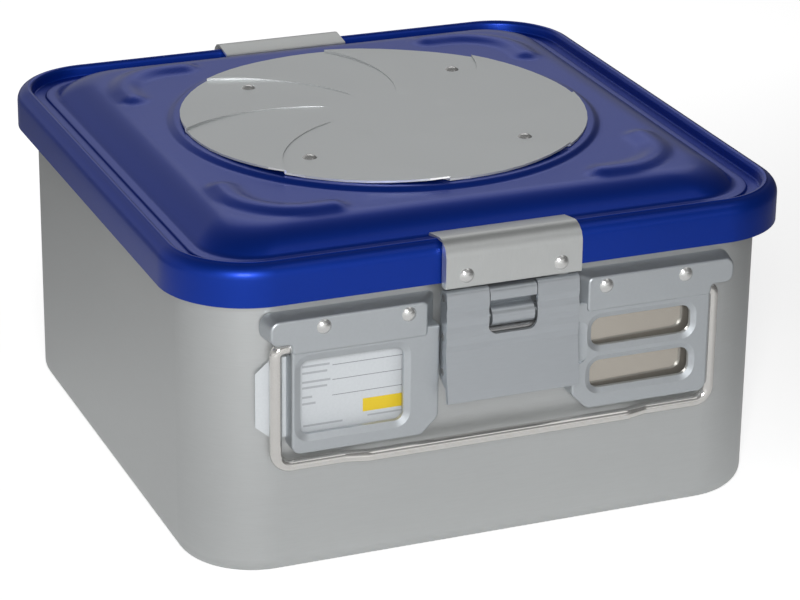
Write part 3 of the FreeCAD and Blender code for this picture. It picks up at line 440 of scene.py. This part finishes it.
rings = lid_rings()
ring_count = len(rings) - 1
bpy.ops.object.select_all(action="DESELECT")
cells = 2 * ring_count
bpy.ops.mesh.primitive_grid_add(x_subdivisions=cells, y_subdivisions=cells, size=2)
lid = bpy.context.object
lid.name = "lid_pressing"
for point in lid.data.vertices:
    reach = max(abs(point.co.x), abs(point.co.y))
    half, corner, level = rings[round(reach * ring_count)]
    across, along = (point.co.x / reach, point.co.y / reach) if reach > 0 else (0, 0)
    x, y = ring_place(across, along, half, corner)
    point.co = (x, y, level + swelling(x, y))
lid.data.materials.append(lid_blue)
finish_with(lid, "SOLIDIFY", thickness=lid_sheet, offset=-1)

# The vent holes under the cover are punched in staggered rows.
vent_hole_radius = 0.0040
drill_length = 0.02
vent_pitch = 0.0240
vent_field = 0.0760
drills = []
for row in range(-4, 5):
    for column in range(-8, 9):
        x = (column + 0.5 * (row % 2)) * vent_pitch
        y = row * vent_pitch * math.sqrt(0.75)
        if vent_pitch / 2 < math.hypot(x, y) < vent_field:
            place = (x, y, dome_height)
            bpy.ops.object.select_all(action="DESELECT")
            bpy.ops.mesh.primitive_cylinder_add(
                vertices=20, radius=vent_hole_radius, depth=drill_length, location=place
            )
            drills.append(bpy.context.object)
bpy.ops.object.select_all(action="DESELECT")
for drill in drills:
    drill.select_set(True)
bpy.context.view_layer.objects.active = drills[0]
bpy.ops.object.join()
drills[0].data.materials.append(lid_blue)
finish_with(lid, "BOOLEAN", operation="DIFFERENCE", solver="MANIFOLD", object=drills[0])
bpy.data.objects.remove(drills[0])
smooth(lid, 50)

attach(lid, "lid")
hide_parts("lid_shell")


# Gasket. A square ring of pale silicone under the lid's groove, moulded in one piece and
# pressed on the tub's rim.
rubber, flow = new_shader("gasket_rubber")
where = flow.node("ShaderNodeTexCoord", out=3)
dust = flow.node("ShaderNodeTexNoise", Vector=where, Scale=420.0, Detail=3.0)
surface = flow.node(
    "ShaderNodeBsdfPrincipled",
    Base_Color=dust.tinted((0.50, 0.50, 0.48), (0.60, 0.60, 0.58)),
    Roughness=dust * 0.15 + 0.5,
    Normal=flow.node("ShaderNodeBump", Strength=0.1, Distance=0.0002, Height=dust),
)
close_shader(flow, surface)
coat(rubber, "lid_gasket")


# Vent cover. A round aluminium sheet over the vent holes, matt anodised; eight curved vanes
# are pressed up from it, each one rising to a low step with a blunt inner end.
disc_radius = 0.0970
disc_level = 0.1600
disc_sheet = 0.0010
vane_count = 8
vane_rise = 0.0011
vane_full_radius = 0.0550
vane_sweep = 26.0
vane_inner_radius = 0.0280
vane_lead_in = 0.0060
least_growth = 0.4
step_arc_radius = 0.0750
step_arc_offset = 0.0745
step_at_edge = 48.0
first_step = -2.0
disc_rows = 30
disc_columns = 9


def step_angle(radius):
    """Angle of a vane's step behind its end on the disc's edge, in degrees."""
    radius = max(radius, vane_inner_radius)
    swing = radius ** 2 + step_arc_offset ** 2 - step_arc_radius ** 2
    return step_at_edge - math.degrees(math.acos(swing / (2 * radius * step_arc_offset)))


vanes = []
for vane in range(vane_count):
    bpy.ops.object.select_all(action="DESELECT")
    bpy.ops.mesh.primitive_grid_add(x_subdivisions=disc_rows, y_subdivisions=disc_columns, size=2)
    sector = bpy.context.object
    for point in sector.data.vertices:
        radius = disc_radius * (point.co.x + 1) / 2
        row = round((point.co.y + 1) / 2 * disc_columns)
        share = min(row / (disc_columns - 1), 1.0)
        behind = (1 - share) * 360 / vane_count
        start = eased((radius - vane_inner_radius) / vane_lead_in)
        outward = eased((radius - vane_full_radius) / (disc_radius - vane_full_radius))
        growth = least_growth + (1 - least_growth) * outward
        rise = vane_rise * growth * start * max(1 - behind / vane_sweep, 0)
        if row == disc_columns:
            rise = 0
        angle = math.radians(step_angle(radius) - behind + first_step + vane * 360 / vane_count)
        point.co = (radius * math.cos(angle), radius * math.sin(angle), disc_level + rise)
    vanes.append(sector)
bpy.ops.object.select_all(action="DESELECT")
for sector in vanes:
    sector.select_set(True)
bpy.context.view_layer.objects.active = vanes[0]
bpy.ops.object.join()
disc = bpy.context.object
disc.name = "vent_cover"
bpy.ops.object.mode_set(mode="EDIT")
bpy.ops.mesh.select_all(action="SELECT")
bpy.ops.mesh.remove_doubles(threshold=0.00001)
bpy.ops.mesh.normals_make_consistent(inside=False)
bpy.ops.object.mode_set(mode="OBJECT")
if disc.data.polygons[0].normal.z < 0:
    disc.data.flip_normals()
finish_with(disc, "SOLIDIFY", thickness=disc_sheet, offset=-1)
smooth(disc, 35)
disc_metal = satin_metal("vent_cover", (0.66, 0.68, 0.685), 0.50, (1500, 1500, 1500), 0.10)
# Painted highlight: the disc's edge faces get a near-white tone for the bright line of light along
# its rim.
edge_highlight_metal = satin_metal("cut_edge_painted_highlight", (0.92, 0.93, 0.93), 0.35, (900, 900, 900), 0.03)
disc.data.materials.append(disc_metal)
disc.data.materials.append(edge_highlight_metal)
for face in disc.data.polygons:
    at_edge = math.hypot(face.center.x, face.center.y) > disc_radius - 0.0001
    if at_edge and abs(face.normal.z) < 0.5:
        face.material_index = 1
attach(disc, "lid")
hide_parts("vent_cover_disc")
coat(disc_metal, "filter_retainer")


# Filter. A white cloth sheet under the vent holes, held up against the lid by the
# perforated retainer plate.
cloth, flow = new_shader("filter_cloth")
where = flow.node("ShaderNodeTexCoord", out=3)
threads = flow.node("ShaderNodeTexVoronoi", Vector=where, Scale=1400.0)
surface = flow.node(
    "ShaderNodeBsdfPrincipled",
    Base_Color=threads.tinted((0.72, 0.72, 0.70), (0.86, 0.86, 0.84)),
    Roughness=0.9,
    Normal=flow.node("ShaderNodeBump", Strength=0.3, Distance=0.0002, Height=threads),
)
close_shader(flow, surface)
coat(cloth, "filter_sheet")


# Rivets and pins. Domed steel rivets, polished by tumbling, and turned steel pins, which
# hold the sheet parts and turn the latches.
rivet_steel = satin_metal("rivets", (0.72, 0.72, 0.71), 0.24, (500, 500, 500), 0.03)
coat(rivet_steel, "vent_cover_rivets", "vent_cover_spacers", "filter_stud")
coat(rivet_steel, *both("clamp_rivets", "holder_rivets", "latch_base_rivets"))
pin_steel = satin_metal("steel_pins", (0.42, 0.42, 0.42), 0.22, (600, 600, 600), 0.05)
coat(pin_steel, *both("latch_hinge_pins", "latch_pins"))


# Clamp brackets. Short lengths of an extruded aluminium hook, silver anodised and riveted
# to the lid's skirt: a thick jaw down the skirt and a rounded top that closes over the rim.
bracket_half_width = 0.0325
bracket_face = 0.1545
bracket_top = 0.1546
bracket_low = 0.1314
bracket_back = 0.1345
bracket_end = 0.1512
bracket_end_under = 0.1498
bracket_jaw = 0.1496
bracket_under = 0.1518
bracket_under_end = 0.1430
bracket_bend = 0.0080
bracket_metal = satin_metal("bracket_aluminium", (0.62, 0.635, 0.63), 0.42, (1500, 300, 300), 0.12)


def bent(corners, steps=5):
    """A closed outline through corners (out, up, bend radius), with each corner rounded."""
    points = []
    for i, (out, up, radius) in enumerate(corners):
        here = Vector((out, up))
        before = (Vector(corners[i - 1][:2]) - here).normalized()
        after = (Vector(corners[(i + 1) % len(corners)][:2]) - here).normalized()
        if radius == 0:
            points.append(here)
            continue
        half_angle = before.angle(after) / 2
        centre = here + (before + after).normalized() * radius / math.sin(half_angle)
        first = here + before * radius / math.tan(half_angle) - centre
        last = here + after * radius / math.tan(half_angle) - centre
        for step in range(steps + 1):
            spoke = first * (1 - step / steps) + last * (step / steps)
            points.append(centre + spoke.normalized() * radius)
    return points


def bar(name, corners, half_width, side, material):
    """A bar across the container's front or rear, from its section and its half width."""
    outline = bent(corners)
    bpy.ops.object.select_all(action="DESELECT")
    bpy.ops.mesh.primitive_circle_add(vertices=len(outline), radius=1, fill_type="NGON")
    piece = bpy.context.object
    piece.name = name
    for point, place in zip(piece.data.vertices, outline):
        point.co = (-half_width, side * place.x, place.y)
    bpy.ops.object.mode_set(mode="EDIT")
    bpy.ops.mesh.select_all(action="SELECT")
    bpy.ops.mesh.extrude_region_move(TRANSFORM_OT_translate={"value": (2 * half_width, 0, 0)})
    bpy.ops.mesh.select_all(action="SELECT")
    bpy.ops.mesh.normals_make_consistent(inside=False)
    bpy.ops.object.mode_set(mode="OBJECT")
    smooth(piece, 40)
    piece.data.materials.append(material)
    return piece


bracket_section = [
    (bracket_face, bracket_low, 0.0008),
    (bracket_face, bracket_top, bracket_bend),
    (bracket_back, bracket_end, 0.0005),
    (bracket_back, bracket_end_under, 0.0003),
    (bracket_under_end, bracket_under, 0.0010),
    (bracket_jaw, bracket_under, 0.0),
    (bracket_jaw, bracket_low, 0.0020),
]
for name, side in (("front", -1), ("rear", 1)):
    hook = bar(name + "_bracket", bracket_section, bracket_half_width, side, bracket_metal)
    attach(hook, "lid")
    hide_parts(name + "_clamp_bracket")


# Holders. Pans of formed aluminium sheet, satin finished, and the latch's base of the same
# sheet; the polished plate behind the two slots has the warm light of the room painted into
# its colour, a painted reflection.
holder_metal = satin_metal("holder_sheet", (0.52, 0.55, 0.575), 0.44, (700, 700, 700), 0.08)
coat(holder_metal, *both("label_holder", "tag_holder", "latch_base"))
# Painted reflection: the plate's warm tone stands in for the warm light of the room that it
# mirrors.
plate_painted_warm_light = satin_metal("polished_plate", (0.56, 0.52, 0.46), 0.14, (300, 300, 300), 0.02)
coat(plate_painted_warm_light, *both("tag_insert"))


# Label card. A printed white card that slides in from the side: three ruled lines, short
# grey bars for what is filled in beside them, and a plain yellow patch.
line_heights = (0.0980, 0.0910, 0.0836)
line_start = -0.0799
line_end = -0.042
line_half = 0.00014
bar_start = -0.0940
bar_half = 0.0005
bar_heights = (0.0989, 0.0958, 0.0915, 0.0888, 0.0843, 0.0812)
bar_ends = (-0.0812, -0.0823, -0.0808, -0.0823, -0.0893, -0.0877)
patch_x = (-0.0655, -0.0430)
patch_z = (0.0734, 0.0797)
foot_bars = (((-0.0935, -0.0750), (0.0702, 0.0711)), ((-0.0632, -0.0430), (0.0710, 0.0718)))

card, flow = new_shader("card")
where = flow.node("ShaderNodeTexCoord", out=3)
across = flow.node("ShaderNodeSeparateXYZ", out=0, Vector=where)
up = Flow(flow.tree, across.socket.node.outputs[2])
across = 0 - across.maths("ABSOLUTE", across)
fibre = flow.node("ShaderNodeTexNoise", Vector=where, Scale=900.0, Detail=3.0)
lines = [up.between(level - line_half, level + line_half) for level in line_heights]
ink = across.between(line_start, line_end) * (lines[0] + lines[1] + lines[2])
bars = across.between(*foot_bars[0][0]) * up.between(*foot_bars[0][1])
bars = bars + across.between(*foot_bars[1][0]) * up.between(*foot_bars[1][1])
for level, end in zip(bar_heights, bar_ends):
    bars = bars + across.between(bar_start, end) * up.between(level - bar_half, level + bar_half)
patch = across.between(*patch_x) * up.between(*patch_z)
tone = fibre.tinted((0.60, 0.63, 0.655), (0.68, 0.71, 0.735))
tone = (bars * 0.42).tinted(tone, (0.16, 0.17, 0.20))
tone = (ink * 0.85).tinted(tone, (0.10, 0.11, 0.14))
tone = patch.tinted(tone, (0.83, 0.60, 0.03))
surface = flow.node("ShaderNodeBsdfPrincipled", Base_Color=tone, Roughness=fibre * 0.1 + 0.45)
close_shader(flow, surface)
coat(card, *both("label_card"))


# Wire handles. Round steel wire, bent cold and chromed; each one hangs in the eyes of the
# two holders and lies against the tub when it is down.
chrome = satin_metal("handle_chrome", (0.74, 0.725, 0.70), 0.07, (300, 300, 300), 0.01)
coat(chrome, *both("handle"))


# Latches. Lengths of an extruded aluminium lever with shallow ribs along it, satin
# anodised, and the link that hooks under the bracket, on steel pins.
latch_metal = satin_metal("latch_aluminium", (0.50, 0.53, 0.56), 0.36, (120, 1300, 1300), 0.12)
coat(latch_metal, *both("latch_flap", "latch_link"))
